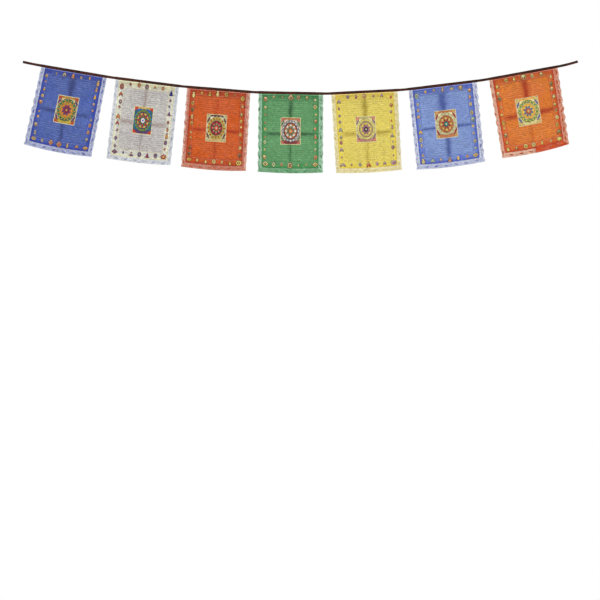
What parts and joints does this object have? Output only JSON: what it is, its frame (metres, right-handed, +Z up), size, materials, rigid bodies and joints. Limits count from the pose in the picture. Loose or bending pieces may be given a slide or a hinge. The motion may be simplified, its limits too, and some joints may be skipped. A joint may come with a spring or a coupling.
{
  "type": "tibetan prayer flag string",
  "caption": "String of rectangular printed cloth prayer flags in repeating colours, tucked side by side into a folded dark tape that hangs in a shallow sag from its free ends.",
  "frame": {"origin": "left cut end of the header tape, on its middle line, where the string is tied up", "axes": "+X along the string to its right end, +Z up, and the printed fronts of the flags face -Y"},
  "size_m": [2.3322, 0.0356, 0.4736],
  "materials": {
    "header_tape": "dark brown woven tape, matt",
    "flag_1_blue": "thin printed polyester cloth, soft sheen",
    "flag_2_white": "thin printed polyester cloth, soft sheen",
    "flag_3_orange": "thin printed polyester cloth, soft sheen",
    "flag_4_green": "thin printed polyester cloth, soft sheen",
    "flag_5_yellow": "thin printed polyester cloth, soft sheen",
    "flag_6_blue": "thin printed polyester cloth, soft sheen",
    "flag_7_orange": "thin printed polyester cloth, soft sheen"
  },
  "bodies": {
    "root": {"header_tape": "header_tape", "flag_1_blue": "flag_1_blue", "flag_2_white": "flag_2_white", "flag_3_orange": "flag_3_orange", "flag_4_green": "flag_4_green", "flag_5_yellow": "flag_5_yellow", "flag_6_blue": "flag_6_blue", "flag_7_orange": "flag_7_orange"}
  },
  "joints": []
}
